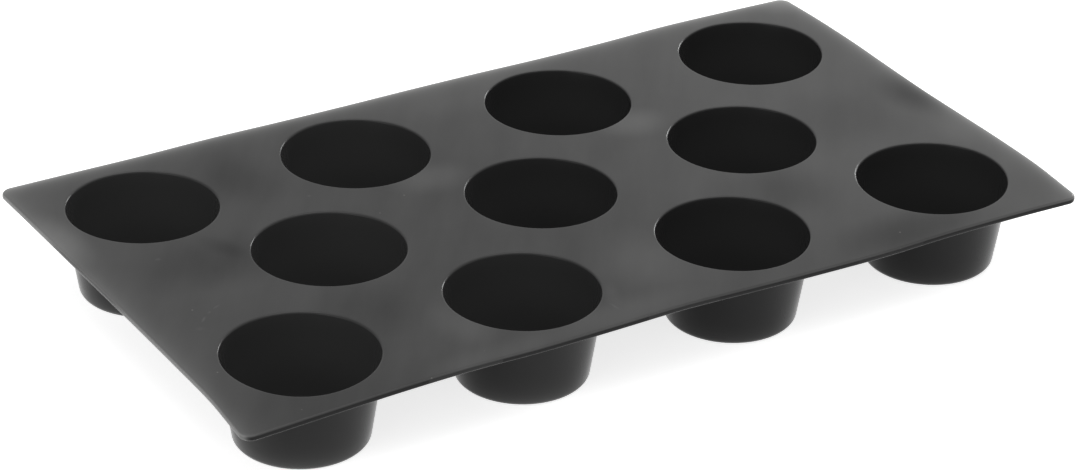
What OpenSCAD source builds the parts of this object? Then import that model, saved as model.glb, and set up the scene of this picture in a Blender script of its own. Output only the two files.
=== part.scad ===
// Silicone mini muffin mould: one moulded sheet, with staggered rows of round, tapered cups hanging
// from it. Millimetres, +Z up. The origin is on the surface that the cups stand on, under the middle
// of the sheet, and the rows of cups run along X.

/* [Cups] */
// Height from the underside of the cups to the top of the sheet
overall_height = 29; // [18:0.5:40]
// Inner diameter of a cup, where its wall would meet the top of the sheet
mouth_diameter = 48.5; // [36:0.5:58]
// Slope of the cup wall from the vertical, in degrees
draft_angle = 8.8; // [2:0.2:12]
// Thickness of the cup wall
wall_thickness = 1; // [0.8:0.1:2]
// Thickness of the cup floor
floor_thickness = 1.2; // [0.8:0.1:2.4]
// Rounding inside the cup, from the wall to the floor
floor_radius = 1.5; // [1:0.5:6]
// Rounding of the lip, from the top of the sheet into the cup
lip_radius = 0.5; // [0.3:0.1:1.2]
// Fillet from the outside of the cup to the underside of the sheet
root_radius = 1.2; // [0.5:0.1:2]

/* [Layout] */
// Rows of cups
row_count = 3; // [1:1:7]
// Cups in the first row, where every second row has one cup less
cup_count = 4; // [2:1:8]
// Distance between the cups of a row, along X
cup_pitch = 76.5; // [62:0.5:110]
// Distance between the rows, along Y
row_pitch = 53; // [45:0.5:90]

/* [Sheet] */
// Thickness of the sheet
sheet_thickness = 2; // [1.4:0.1:4]
// From the mouth of an end cup to the end of the sheet
end_margin = 11; // [6:0.25:40]
// From the mouths of an outer row to the side of the sheet
side_margin = 7.75; // [6:0.25:40]
// Radius of the four corners, seen from above
corner_radius = 4; // [3:0.5:25]
// Rounding of the sheet's upper edge
upper_edge_radius = 0.6; // [0.2:0.1:0.8]
// Rounding of the sheet's lower edge
lower_edge_radius = 0.4; // [0.2:0.1:0.5]

/* [Hidden] */
$fn = 96;
silicone_grey = [0.2, 0.2, 0.205];
mouth_radius = mouth_diameter / 2;
sheet_length = (cup_count - 1) * cup_pitch + mouth_diameter + 2 * end_margin;
sheet_width = (row_count - 1) * row_pitch + mouth_diameter + 2 * side_margin;
// How far the cutter of a hollow runs past the top of the sheet
cutter_overrun = 1;
// How far a rounding reaches past its tangent on a cup's wall, so that no hairline step is left there
tangent_lap = 0.0002;

// Section of the sheet's border, from the middle of the corner rounding out to the edge, top at 0
module border_section() {
    upper_x = corner_radius - upper_edge_radius;
    lower_x = corner_radius - lower_edge_radius;
    lower_z = lower_edge_radius - sheet_thickness;
    polygon([
        [0, 0],
        [0, -sheet_thickness],
        [lower_x, -sheet_thickness],
        [corner_radius, lower_z],
        [corner_radius, -upper_edge_radius],
        [upper_x, 0]
    ]);
    translate([upper_x, -upper_edge_radius]) circle(upper_edge_radius);
    translate([lower_x, lower_z]) circle(lower_edge_radius);
}

// A straight stretch of the border, with its outer face towards +X
module border_side(length) {
    rotate([90, 0, 0]) linear_extrude(length, center = true) border_section();
}

// A rounded corner of the border, towards +X and +Y
module border_corner() {
    rotate_extrude(angle = 90) border_section();
}

// The sheet before its cups are opened, with its top at z = 0
module sheet() {
    core_x = sheet_length / 2 - corner_radius;
    core_y = sheet_width / 2 - corner_radius;
    translate([-core_x, -core_y, -sheet_thickness]) cube([2 * core_x, 2 * core_y, sheet_thickness]);
    for (turn = [0, 180]) rotate(turn) {
        translate([core_x, 0, 0]) border_side(2 * core_y);
        translate([core_x, core_y, 0]) border_corner();
        rotate(90) {
            translate([core_y, 0, 0]) border_side(2 * core_x);
            translate([core_y, core_x, 0]) border_corner();
        }
    }
}

// Section of a cup's outer or inner skin, from the axis out. The sloped wall has wall_radius at z = 0.
// Below it is rounded into the floor, and above it flares into the face of the sheet at height face.
module cup_section(wall_radius, floor_z, floor_rounding, face, flare_rounding, top) {
    function on_wall(z) = [wall_radius + z * tan(draft_angle), z];
    low_z = floor_z + floor_rounding;
    high_z = face - flare_rounding;
    wall_foot = on_wall(low_z - floor_rounding * sin(draft_angle));
    wall_head = on_wall(high_z + flare_rounding * sin(draft_angle));
    low = [wall_foot.x - floor_rounding * cos(draft_angle) + tangent_lap, low_z];
    high = [wall_head.x + flare_rounding * cos(draft_angle) - tangent_lap, high_z];
    difference() {
        union() {
            polygon([[0, floor_z], [low.x, floor_z], wall_foot, wall_head, high, [high.x, top], [0, top]]);
            translate(low) circle(floor_rounding);
        }
        translate(high) circle(flare_rounding);
    }
}

// One cup as a solid plug, from its underside up into the sheet
module cup_body() {
    rotate_extrude() cup_section(
        mouth_radius + wall_thickness / cos(draft_angle),
        -overall_height, floor_radius + wall_thickness,
        -sheet_thickness, root_radius, -sheet_thickness / 2
    );
}

// The hollow of one cup, with the rounded lip at its mouth
module cup_hollow() {
    rotate_extrude() cup_section(
        mouth_radius,
        floor_thickness - overall_height, floor_radius,
        0, lip_radius, cutter_overrun
    );
}

// Puts its children at every cup. The short rows stand half a pitch in from the long ones.
module at_each_cup() {
    for (row = [0 : row_count - 1]) {
        last = cup_count - 1 - row % 2;
        y = (row - (row_count - 1) / 2) * row_pitch;
        for (cup = [0 : last]) translate([(cup - last / 2) * cup_pitch, y, 0]) children();
    }
}

module mould() {
    color(silicone_grey) translate([0, 0, overall_height]) difference() {
        union() {
            sheet();
            at_each_cup() cup_body();
        }
        at_each_cup() cup_hollow();
    }
}

mould();
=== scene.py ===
import math

import bmesh
import bpy
from mathutils import Matrix, Vector, geometry


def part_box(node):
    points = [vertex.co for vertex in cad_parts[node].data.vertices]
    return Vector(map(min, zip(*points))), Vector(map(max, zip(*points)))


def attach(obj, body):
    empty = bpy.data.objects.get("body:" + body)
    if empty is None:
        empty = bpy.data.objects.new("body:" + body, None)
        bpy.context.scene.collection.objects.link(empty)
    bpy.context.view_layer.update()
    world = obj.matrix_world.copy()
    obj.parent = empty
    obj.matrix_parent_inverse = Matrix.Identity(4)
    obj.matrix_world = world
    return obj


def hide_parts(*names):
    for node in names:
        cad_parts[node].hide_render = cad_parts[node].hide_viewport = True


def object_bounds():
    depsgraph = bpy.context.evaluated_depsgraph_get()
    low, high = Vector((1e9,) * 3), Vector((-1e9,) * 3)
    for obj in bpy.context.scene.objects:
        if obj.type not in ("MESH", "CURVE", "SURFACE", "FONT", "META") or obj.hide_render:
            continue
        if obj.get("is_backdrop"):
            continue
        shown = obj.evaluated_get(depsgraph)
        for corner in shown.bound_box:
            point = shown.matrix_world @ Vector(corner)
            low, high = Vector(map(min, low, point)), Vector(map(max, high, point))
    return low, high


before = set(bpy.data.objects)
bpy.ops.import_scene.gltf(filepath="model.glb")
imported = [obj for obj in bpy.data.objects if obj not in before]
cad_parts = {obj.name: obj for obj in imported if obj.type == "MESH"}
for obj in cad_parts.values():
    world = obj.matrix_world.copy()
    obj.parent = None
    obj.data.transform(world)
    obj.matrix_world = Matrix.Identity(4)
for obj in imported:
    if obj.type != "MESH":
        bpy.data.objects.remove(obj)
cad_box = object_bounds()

# The cups. Each is a round, tapered pocket with a flat bottom, moulded in one with the sheet that it
# hangs from. Its wall is 1 mm of silicone rubber, so that a muffin is pushed out from below by hand.
# The lip, the floor and the root under the sheet are all rounded, so that the rubber leaves its tool.
_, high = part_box("mould")
height = high.z
sheet_thickness = 0.002
underside = height - sheet_thickness
mouth_radius = 0.02425
draft = math.radians(8.8)
cup_wall = 0.001
cup_floor = 0.0012
floor_radius = 0.0015
lip_radius = 0.0008
root_radius = 0.0012
cup_pitch = 0.0765
row_pitch = 0.053
cups_in_rows = (4, 3, 4)
steps_round_cup = 96
steps_in_rounding = 8
steps_down_wall = 6
floor_ring_shares = (0.97, 0.8, 0.6, 0.4, 0.2, 0.08)
flat_beside_rounding = 0.0003
cup_centres = [
    Vector(((cup - (count - 1) / 2) * cup_pitch, (row - 1) * row_pitch))
    for row, count in enumerate(cups_in_rows)
    for cup in range(count)
]
rubber = bmesh.new()


def arc(centre, radius, start, stop):
    """Points on a rounding in a section, from one angle to another in radians."""
    angles = [start + (stop - start) * step / steps_in_rounding for step in range(steps_in_rounding + 1)]
    return [centre + radius * Vector((math.cos(angle), math.sin(angle))) for angle in angles]


def cup_section(wall_radius, face, flare, bottom, rounding):
    """One skin of a cup as points (radius, height): flared into the sheet, down the wall and in."""
    def on_wall(z):
        return Vector((wall_radius - (height - z) * math.tan(draft), z))

    outward = Vector((math.cos(draft), -math.sin(draft)))
    flare_centre = on_wall(face - flare + flare * math.sin(draft)) + flare * outward
    foot_centre = on_wall(bottom + rounding - rounding * math.sin(draft)) - rounding * outward
    lip = arc(flare_centre, flare, math.pi / 2, math.pi - draft)
    foot = arc(foot_centre, rounding, -draft, -math.pi / 2)
    wall = [lip[-1].lerp(foot[0], step / steps_down_wall) for step in range(1, steps_down_wall)]
    floor = [Vector((foot[-1].x * share, bottom)) for share in floor_ring_shares]
    beside_lip = lip[0] + Vector((flat_beside_rounding, 0))
    return [beside_lip, *lip, *wall, *foot, *floor]


def turn_skin(centre, section):
    """Revolves a section about a cup's axis and returns the ring of points where it meets the sheet."""
    rings = []
    for radius, z in section:
        ring = []
        for step in range(steps_round_cup):
            angle = 2 * math.pi * step / steps_round_cup
            ring.append(rubber.verts.new((
                centre.x + radius * math.cos(angle),
                centre.y + radius * math.sin(angle),
                z,
            )))
        rings.append(ring)
    for outer, inner in zip(rings, rings[1:]):
        for step in range(steps_round_cup):
            after = (step + 1) % steps_round_cup
            rubber.faces.new((outer[step], outer[after], inner[after], inner[step]))
    rubber.faces.new(rings[-1])
    return rings[0]


inner_section = cup_section(mouth_radius, height, lip_radius, cup_floor, floor_radius)
outer_section = cup_section(
    mouth_radius + cup_wall / math.cos(draft), underside, root_radius, 0, floor_radius + cup_wall
)
mouths = [turn_skin(centre, inner_section) for centre in cup_centres]
roots = [turn_skin(centre, outer_section) for centre in cup_centres]

# The sheet. It joins the mouths of all the cups and gives the hands an edge to lift by. It is moulded
# flat in one with them, 2 mm thick, with rounded corners and edges.
corner_radius = 0.004
upper_edge = 0.0009
lower_edge = 0.0006
edge_step = 0.003
steps_in_corner = 12
web_step = 0.0042
same_point = 1e-7


def border_path():
    """Pairs of a point on the middle line of the corner roundings and the direction out from it."""
    across = high.x - corner_radius
    along = high.y - corner_radius
    signs = ((1, 1), (-1, 1), (-1, -1), (1, -1))
    corners = [Vector((across * sign_x, along * sign_y)) for sign_x, sign_y in signs]
    pairs = []
    for index, corner in enumerate(corners):
        for step in range(steps_in_corner + 1):
            angle = (index + step / steps_in_corner) * math.pi / 2
            pairs.append((corner, Vector((math.cos(angle), math.sin(angle)))))
        following = corners[(index + 1) % 4]
        pieces = round((following - corner).length / edge_step)
        outward = pairs[-1][1]
        pairs += [(corner.lerp(following, step / pieces), outward) for step in range(1, pieces)]
    return pairs


def sweep_border():
    """Sweeps the section of the edge round the sheet. Returns its innermost rings, above and below."""
    upper = arc(Vector((corner_radius - upper_edge, height - upper_edge)), upper_edge, math.pi / 2, 0)
    lower = arc(Vector((corner_radius - lower_edge, underside + lower_edge)), lower_edge, 0, -math.pi / 2)
    inward = Vector((-flat_beside_rounding, 0))
    section = [upper[0] + inward, *upper, *lower, lower[-1] + inward]
    path = border_path()
    rings = [
        [rubber.verts.new((*(core + outward * reach), z)) for core, outward in path] for reach, z in section
    ]
    for above, below in zip(rings, rings[1:]):
        for step in range(len(path)):
            after = (step + 1) % len(path)
            rubber.faces.new((above[step], above[after], below[after], below[step]))
    return rings[0], rings[-1]


def fill_face(border, holes, z):
    """Fills one face of the sheet between its border and the rings round the cups."""
    corners = [point for loop in (border, *holes) for point in loop]
    edges = []
    for loop in (border, *holes):
        first = corners.index(loop[0])
        edges += [(first + step, first + (step + 1) % len(loop)) for step in range(len(loop))]
    hole_radius = (holes[0][0].co.xy - cup_centres[0]).length
    inside_hole = hole_radius * math.cos(math.pi / steps_round_cup)
    flat = [point.co.xy for point in corners]
    row_step = web_step * math.sqrt(3) / 2
    for row in range(-round(high.y / row_step), round(high.y / row_step) + 1):
        for column in range(-round(high.x / web_step), round(high.x / web_step) + 1):
            spot = Vector(((column + row % 2 / 2) * web_step, row * row_step))
            from_cup = min((spot - centre).length for centre in cup_centres)
            in_border = abs(spot.x) < high.x - web_step and abs(spot.y) < high.y - web_step
            if in_border and from_cup > hole_radius + web_step / 2:
                flat.append(spot)
    inside_border = 1
    web = geometry.delaunay_2d_cdt(flat, edges, [], inside_border, same_point)
    points, _, faces, sources, _, _ = web
    made = [
        corners[source[0]] if source and source[0] < len(corners) else rubber.verts.new((*point, z))
        for point, source in zip(points, sources)
    ]
    for face in faces:
        middle = sum((points[index] for index in face), Vector((0, 0))) / 3
        if all((middle - centre).length > inside_hole for centre in cup_centres):
            rubber.faces.new([made[index] for index in face])


upper_ring, lower_ring = sweep_border()
fill_face(upper_ring, mouths, height)
fill_face(lower_ring, roots, underside)

# How the sheet lies. Rubber this thin keeps some of the way it was folded and packed. Its edge waves
# between the cups, its front corners hang down and its back stands high, while the cups stand flat.
# Each edge has its lifts at even steps along it, from left to right or from front to back.
sheet_reach = Vector((high.x, high.y))
edge_lifts = {
    "front": (-0.003, -0.002, -0.0009, -0.0004, -0.0008, -0.0005, -0.0001,
              -0.0008, -0.0014, -0.0017, -0.0011, -0.0011, -0.0016),
    "back": (0.00075, 0.0007, 0.0006, 0.00085, 0.0006, 0.0005, 0.0006,
             0.0005, 0.0002, 0.0003, 0.0008, 0.0005, 0),
    "left": (-0.003, -0.0003, 0.0003, 0.0006, 0.0008, 0.00085, 0.00085, 0.00085, 0.00075),
    "right": (-0.0016, 0.0001, 0.0005, 0.0003, 0.0001, 0.0004, 0.00085, 0.0007, 0),
}
level_share_x = 0.35
level_share_y = 0.3
edge_bend = 4
none_below = 0.003


def along_edge(edge, place):
    """The lift of an edge by a smooth curve through its steps, at a place from -1 to 1 along it."""
    lifts = edge_lifts[edge]
    at = (place + 1) / 2 * (len(lifts) - 1)
    first = min(int(at), len(lifts) - 2)
    before, start, stop, after = (
        lifts[max(0, min(len(lifts) - 1, first + step))] for step in (-1, 0, 1, 2)
    )
    part = at - first
    bend = 2 * before - 5 * start + 4 * stop - after
    twist = 3 * (start - stop) + after - before
    return start + part / 2 * (stop - before + part * (bend + part * twist))


def lift(x, y):
    """How far the sheet stands above its moulded plane: hardly in the middle, and fully at its edges."""
    u = max(-1, min(1, x / sheet_reach.x))
    v = max(-1, min(1, y / sheet_reach.y))
    to_end = (max(0, abs(u) - level_share_x) / (1 - level_share_x)) ** edge_bend
    to_side = (max(0, abs(v) - level_share_y) / (1 - level_share_y)) ** edge_bend
    end = "right" if u > 0 else "left"
    side = "back" if v > 0 else "front"
    corner = along_edge(side, math.copysign(1, u))
    return to_end * along_edge(end, v) + to_side * along_edge(side, u) - to_end * to_side * corner


for point in rubber.verts:
    share = (point.co.z - none_below) / (underside - none_below)
    point.co.z += lift(point.co.x, point.co.y) * max(0, min(1, share))
bmesh.ops.recalc_face_normals(rubber, faces=rubber.faces)
for face in rubber.faces:
    face.smooth = True
mould_mesh = bpy.data.meshes.new("muffin_mould")
rubber.to_mesh(mould_mesh)
rubber.free()
mould = bpy.data.objects.new("muffin_mould", mould_mesh)
bpy.context.scene.collection.objects.link(mould)

# The rubber. It is black silicone with a satin gloss and a fine even grain from the steel of its tool.
# Washing and handling have left a pale bloom on the sheet, with soft patches, a scratch and a few specks of
# dust. Its colour also holds painted light: the back, the ends and the right half of the sheet are painted
# paler as painted highlights, broad patches are painted sheen and shade, its edge carries a painted
# highlight and painted shade, and the cups and their feet are painted paler as painted fill light and
# painted reflection.


class Signal:
    """Wraps an output socket of a node tree, so that shader maths is written as an expression."""

    def __init__(self, socket):
        self.socket = socket

    def node(self, kind, settings=None, sockets=None, output=0):
        """Adds a node in the same tree, applies its settings and then fills its sockets."""
        tree = self.socket.id_data
        added = tree.nodes.new(kind)
        for name, value in (settings or {}).items():
            setattr(added, name, value)
        for name, value in (sockets or {}).items():
            if isinstance(value, Signal):
                tree.links.new(value.socket, added.inputs[name])
            else:
                added.inputs[name].default_value = value
        return Signal(added.outputs[output])

    def maths(self, operation, *values):
        return self.node("ShaderNodeMath", {"operation": operation}, dict(enumerate(values)))

    def __add__(self, other):
        return self.maths("ADD", self, other)

    def __radd__(self, other):
        return self.maths("ADD", other, self)

    def __sub__(self, other):
        return self.maths("SUBTRACT", self, other)

    def __rsub__(self, other):
        return self.maths("SUBTRACT", other, self)

    def __mul__(self, other):
        return self.maths("MULTIPLY", self, other)

    def __rmul__(self, other):
        return self.maths("MULTIPLY", other, self)

    def __truediv__(self, other):
        return self.maths("DIVIDE", self, other)

    def __rtruediv__(self, other):
        return self.maths("DIVIDE", other, self)

    def __abs__(self):
        return self.maths("ABSOLUTE", self)

    def __round__(self):
        return self.maths("ROUND", self)

    def parts(self):
        """The three numbers of this vector."""
        return [self.node("ShaderNodeSeparateXYZ", None, {0: self}, axis) for axis in "XYZ"]

    def between(self, start, stop):
        """0 below start and 1 above stop, with a soft step from one to the other."""
        limits = {"Value": self, "From Min": start, "From Max": stop}
        return self.node("ShaderNodeMapRange", {"interpolation_type": "SMOOTHSTEP"}, limits)

    def noise(self, size, detail):
        """Soft noise about 0.5, whose lumps are about size across, over this place."""
        sockets = {"Vector": self, "Scale": 1 / size, "Detail": detail, "Roughness": 0.5}
        return self.node("ShaderNodeTexNoise", None, sockets)

    def turned(self, centre, reach, degrees):
        """This place measured from a centre, in units of reach along and across a turned direction."""
        sockets = {
            "Vector": self,
            "Location": (*centre, 0),
            "Rotation": (0, 0, math.radians(degrees)),
            "Scale": (*reach, 1),
        }
        return self.node("ShaderNodeMapping", {"vector_type": "TEXTURE"}, sockets)

    def patch(self, centre, reach, degrees, core):
        """1 in the core of an ellipse, which is that share of its reach, falling softly to 0 at its rim."""
        outward = self.turned(centre, reach, degrees)
        away = outward.node("ShaderNodeVectorMath", {"operation": "LENGTH"}, {0: outward}, "Value")
        return 1 - away.between(core, 1)


silicone = bpy.data.materials.new("silicone")
silicone.use_nodes = True
shader = silicone.node_tree.nodes["Principled BSDF"]
coordinates = silicone.node_tree.nodes.new("ShaderNodeTexCoord").outputs
place = Signal(coordinates["Object"])
facing = Signal(coordinates["Normal"])
x, y, z = place.parts()
sideways, backward, upward = facing.parts()

# Where one part of the rubber passes into the next, as the start and stop of a soft step: in metres for
# heights and distances, and as a share of facing that way for the directions.
sheet_begins = (0.018, 0.022)
border_ends = (0.0018, 0.0022)
edge_into_top = (0.3, 0.9)
edge_into_border = (0.1, 0.7)
lip_into_top = (0.6, 0.97)
facing_out = (-0.95, -0.5)
edge_into_underside = (-0.8, -0.2)
base_into_foot = (-1.0, -0.85)
between_skins = (-0.0001, 0.0001)
through_floor = (cup_floor / 2 - 0.0001, cup_floor / 2 + 0.0001)
past_last_cup = 1.75 * cup_pitch
from_end = sheet_reach.x - abs(x)
from_side = sheet_reach.y - abs(y)
on_border = 1 - from_end.maths("MINIMUM", from_end, from_side).between(*border_ends)
on_edge_face = on_border * (1 - upward.between(*edge_into_top))
on_lower_edge = 1 - upward.between(*edge_into_underside)
on_top = upward.between(*lip_into_top) * z.between(*sheet_begins) * (1 - on_border)
on_sheet = on_top + upward.between(*edge_into_border) * on_border
at_front = 1 - backward.between(*facing_out)
at_left = 1 - sideways.between(*facing_out)
row = round(y / row_pitch)
row_shift = abs(row) * (cup_pitch / 2)
axis_x = row_shift + round((x - row_shift) / cup_pitch) * cup_pitch
from_axis_x = x - axis_x
from_axis_y = y - row * row_pitch
from_axis = x.maths("SQRT", from_axis_x * from_axis_x + from_axis_y * from_axis_y)
middle_of_wall = mouth_radius + cup_wall / 2 - (height - z) * math.tan(draft)
within_wall = (middle_of_wall - from_axis).between(*between_skins)
in_cup = within_wall * z.between(*through_floor) * x.maths("LESS_THAN", abs(axis_x), past_last_cup)
on_outside = (1 - in_cup) * upward.between(*base_into_foot)


def fading_in(distance, depth, strength):
    """That strength at an edge, a quarter of it at that depth, and fading slowly to nothing further in."""
    share = depth / (distance + depth)
    return share * share * strength


# Painted sheen and marks on the sheet: each has its centre, its reach along and across, its turn in degrees
# and how much paler it is, or darker where the number is below 0. The broad ones are painted light and
# shade, the mottled sheen of the sheet's soft waves; the last are a scratch, small rubs and specks.
painted_sheen_and_marks = (
    ((-0.113, 0.010), (0.034, 0.022), 0, -0.050),
    ((-0.080, 0.055), (0.018, 0.024), 0, -0.040),
    ((-0.084, -0.040), (0.022, 0.024), 0, -0.035),
    ((0.068, -0.038), (0.026, 0.024), 0, -0.055),
    ((0.090, -0.078), (0.036, 0.016), 0, -0.075),
    ((0.112, -0.002), (0.032, 0.030), 0, -0.035),
    ((0.147, 0.000), (0.016, 0.022), 0, -0.130),
    ((-0.147, 0.044), (0.010, 0.024), 0, 0.110),
    ((0.051, 0.028), (0.016, 0.013), 0, 0.085),
    ((-0.026, 0.026), (0.018, 0.013), 0, 0.060),
    ((-0.022, -0.080), (0.040, 0.012), 0, 0.060),
    ((0.004, -0.056), (0.024, 0.030), 0, 0.045),
    ((-0.064, -0.062), (0.012, 0.018), 0, 0.045),
    ((0.010, 0.074), (0.050, 0.018), 0, 0.035),
    ((-0.066, -0.084), (0.034, 0.010), 0, 0.040),
    ((0.147, 0.082), (0.014, 0.012), 0, 0.090),
    ((0.142, -0.032), (0.010, 0.016), 0, 0.030),
    ((-0.105, 0.017), (0.0120, 0.0060), -68, -0.025),
    ((-0.0160, -0.0685), (0.0105, 0.0040), 69, 0.028),
    ((-0.0189, -0.0752), (0.0033, 0.0005), -83, 0.040),
    ((-0.1310, -0.0217), (0.0024, 0.0006), 48, 0.055),
    ((-0.1275, -0.0186), (0.0010, 0.0006), 40, 0.040),
    ((-0.1241, -0.0165), (0.0021, 0.0006), 24, 0.040),
    ((-0.1346, -0.0264), (0.0019, 0.0016), 0, 0.020),
    ((-0.1261, 0.0191), (0.0013, 0.0010), 0, 0.045),
    ((-0.0655, 0.0340), (0.0010, 0.0010), 0, 0.040),
)
sheet_bloom = 0.095
painted_light_right_end = 0.06
right_side = (-0.02, 0.11)
patch_strength = 0.05
streak_strength = 0.05
patch_core = 0.1
patches = place.noise(size=0.045, detail=3.0)
streaks = place.turned(centre=(0, 0), reach=(5, 1), degrees=55).noise(size=0.009, detail=3.0)
grain = place.noise(size=0.0004, detail=2.0)
# Painted light: the sheet grows paler towards its right end, a painted reflection of the room's light in its
# sheen.
bloom_and_painted_light = sheet_bloom + x.between(*right_side) * painted_light_right_end
# Painted highlight: paler bands fading in from the back and both ends of the sheet stand in for glare off
# the bright room round it.
bloom_and_painted_light += fading_in(sheet_reach.y - y, depth=0.0016, strength=1.35)
bloom_and_painted_light += fading_in(sheet_reach.x - x, depth=0.0016, strength=1.1)
bloom_and_painted_light += fading_in(sheet_reach.x + x, depth=0.005, strength=0.18)
bloom_and_painted_light += (patches - 0.5) * patch_strength + (streaks - 0.5) * streak_strength
for centre, reach, degrees, strength in painted_sheen_and_marks:
    bloom_and_painted_light += place.patch(centre, reach, degrees, patch_core) * strength

# Painted light on the edge of the sheet: its face is painted paler than its top as a painted highlight,
# paler still at the left, and its lower rounding is paler as a painted reflection of the bright floor. The
# front face is painted dark as painted shade, and so is a stretch of the left edge.
edge_painted_light = 0.24
front_edge_painted_shade = -0.02
left_edge_painted_light = 0.12
left_edge_painted_shade = 0.32
lower_edge_painted_reflection = 0.16
front_lower_painted_reflection = 0.07
left_edge_shade_patch = place.patch(centre=(-0.15, 0.020), reach=(0.006, 0.032), degrees=0, core=0.5)
edge_face_painted_light = edge_painted_light + at_front * (front_edge_painted_shade - edge_painted_light)
edge_face_painted_light += at_left * (left_edge_painted_light - left_edge_shade_patch * left_edge_painted_shade)
edge_face_painted_light += on_lower_edge * (lower_edge_painted_reflection + at_front * (front_lower_painted_reflection - lower_edge_painted_reflection))

# Painted light off the sheet. The cups are painted paler, evenly low in them and less towards their lips, as
# painted fill light in their hollows. Outside, a paler band at their feet is a painted reflection of the
# bright floor, and the cups to the left are painted paler as painted light from that side.
cup_painted_light = 0.06
lip_share = 0.5
up_the_wall = (0.012, 0.03)
left_painted_light = 0.014
left_side = (-0.02, 0.045)
foot_painted_reflection = 0.36
left_foot_painted_reflection = 0.24
towards_left = (0 - x).between(*left_side)
painted_light_off_sheet = towards_left * left_painted_light * (1 + in_cup)
painted_light_off_sheet += in_cup * cup_painted_light * (1 - z.between(*up_the_wall) * lip_share)
painted_light_off_sheet += on_outside * fading_in(z, depth=0.0028, strength=foot_painted_reflection + towards_left * left_foot_painted_reflection)

clean_rubber = (0.006, 0.006, 0.0062, 1)
pale_bloom_and_painted_light = (0.45, 0.45, 0.445, 1)
dust_colour = (0.2, 0.195, 0.185, 1)
dust_strength = 0.5
speck_spacing = 0.014
speck_reach = (0.012, 0.028)
satin_roughness = 0.22
patch_roughness = 0.08
grain_roughness = 0.04
# The colour takes clean rubber towards a pale tone by the bloom and by the painted light and shade above.
bloom_and_painted_light = (1 - on_sheet) * painted_light_off_sheet + on_sheet * bloom_and_painted_light + on_edge_face * edge_face_painted_light
from_speck = place.node(
    "ShaderNodeTexVoronoi", {"feature": "F1"}, {"Vector": place, "Scale": 1 / speck_spacing}, "Distance"
)
dust = on_sheet * (1 - from_speck.between(*speck_reach)) * dust_strength
tint = place.node("ShaderNodeMix", {"data_type": "RGBA"}, {0: bloom_and_painted_light, 6: clean_rubber, 7: pale_bloom_and_painted_light}, 2)
colour = place.node("ShaderNodeMix", {"data_type": "RGBA"}, {0: dust, 6: tint, 7: dust_colour}, 2)
roughness = satin_roughness + (patches - 0.5) * patch_roughness + (grain - 0.5) * grain_roughness
relief = place.node(
    "ShaderNodeBump", None, {"Strength": 0.35, "Distance": 0.00003, "Height": grain}, "Normal"
)
for name, signal in (("Base Color", colour), ("Roughness", roughness), ("Normal", relief)):
    silicone.node_tree.links.new(signal.socket, shader.inputs[name])
shader.inputs["IOR"].default_value = 1.41
shader.inputs["Specular IOR Level"].default_value = 0.2
mould_mesh.materials.append(silicone)
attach(mould, "root")
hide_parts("mould")

# The ground is a wide sheet of plain white card. It is lit like the object and keeps its shadow, and a
# little light of its own takes the open card to white.
ground_size = 6.0
ground_mesh = bpy.data.meshes.new("ground")
reach = ground_size / 2
ground_corners = [(-reach, -reach, 0), (reach, -reach, 0), (reach, reach, 0), (-reach, reach, 0)]
ground_mesh.from_pydata(ground_corners, [], [(0, 1, 2, 3)])
ground = bpy.data.objects.new("ground", ground_mesh)
bpy.context.scene.collection.objects.link(ground)
card = bpy.data.materials.new("white_card")
card.use_nodes = True
card_shader = card.node_tree.nodes["Principled BSDF"]
card_shader.inputs["Base Color"].default_value = (0.88, 0.88, 0.88, 1)
card_shader.inputs["Roughness"].default_value = 0.9
card_shader.inputs["Specular IOR Level"].default_value = 0.1
card_shader.inputs["Emission Color"].default_value = (1, 1, 1, 1)


def seen_light(tree, by_camera, in_gloss):
    """A strength for what the camera sees straight, and one for what it sees in gloss or through glass."""
    ray = tree.nodes.new("ShaderNodeLightPath").outputs
    gloss = Signal(ray["Is Glossy Ray"]) + Signal(ray["Is Transmission Ray"])
    return Signal(ray["Is Camera Ray"]) * by_camera + gloss * in_gloss


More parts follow.
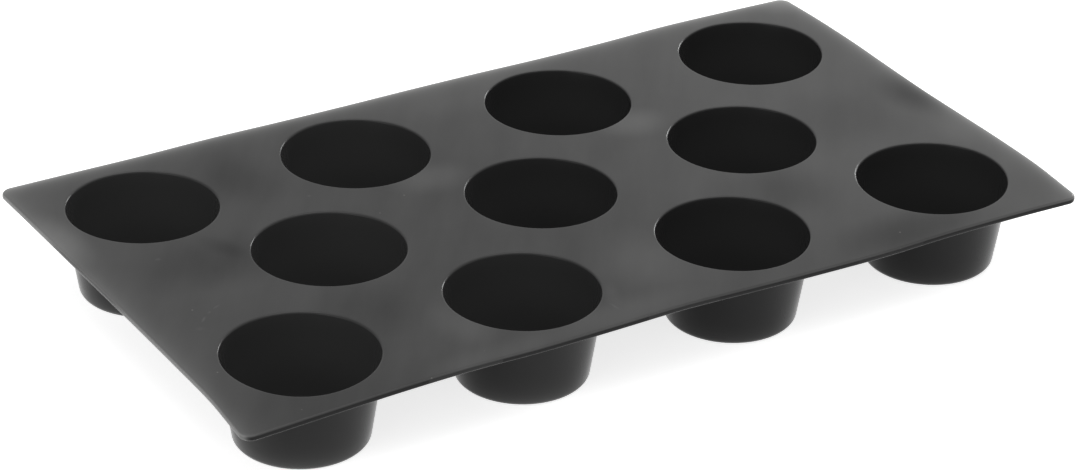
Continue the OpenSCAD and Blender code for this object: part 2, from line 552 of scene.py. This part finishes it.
card_glow = seen_light(card.node_tree, by_camera=0.77, in_gloss=0.85)
card.node_tree.links.new(card_glow.socket, card_shader.inputs["Emission Strength"])
ground_mesh.materials.append(card)
ground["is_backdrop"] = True

# The light is that of a white room: a weak even fill and three soft boxes. The big one hangs over the
# table, a small one low behind the mould to its right catches the lips, and one stands low to its left.
room = bpy.data.worlds.new("white_room")
room.use_nodes = True
bpy.context.scene.world = room
backdrop = room.node_tree.nodes["Background"]
backdrop.inputs["Color"].default_value = (1, 1, 1, 1)
fill_strength = 0.45
strength = fill_strength + seen_light(room.node_tree, by_camera=1 - fill_strength, in_gloss=0.25)
room.node_tree.links.new(strength.socket, backdrop.inputs["Strength"])


def soft_box(name, place, size, watts):
    """A square lamp of that size in metres, turned from its place towards the middle of the ground."""
    lamp = bpy.data.lights.new(name, "AREA")
    lamp.size = size
    lamp.energy = watts
    holder = bpy.data.objects.new(name, lamp)
    holder.location = place
    holder.rotation_euler = (-Vector(place)).to_track_quat("-Z", "Y").to_euler()
    holder.visible_camera = False
    bpy.context.scene.collection.objects.link(holder)


soft_box("box_overhead", place=(-0.1, -0.2, 1.7), size=1.6, watts=17)
soft_box("box_right", place=(1.1, 0.6, 0.47), size=0.3, watts=3)
soft_box("box_left", place=(-0.85, -0.3, 0.2), size=0.6, watts=1.5)

# The camera. It stands 1.3 m away at the mould's front left and looks down on it through a long lens, so
# that the far cups are hardly smaller than the near ones.
camera = bpy.data.cameras.new("camera")
camera.lens = 139.155
camera.sensor_width = 36
viewpoint = Vector((-0.61191, -1.0091, 0.64166))
target = Vector((-0.01522, -0.02482, 0.029))
roll = math.radians(0.795)
forward = (target - viewpoint).normalized()
level = forward.cross(Vector((0, 0, 1))).normalized()
upright = level.cross(forward)
right = level * math.cos(roll) + upright * math.sin(roll)
up = right.cross(forward)
camera_holder = bpy.data.objects.new("camera", camera)
turn = Matrix((right, up, -forward)).transposed().to_4x4()
camera_holder.matrix_world = Matrix.Translation(viewpoint) @ turn
bpy.context.scene.collection.objects.link(camera_holder)
bpy.context.scene.camera = camera_holder
bpy.context.scene.view_settings.view_transform = "Standard"

sizes = {"cad": [list(corner) for corner in cad_box], "visual": [list(corner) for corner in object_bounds()]}
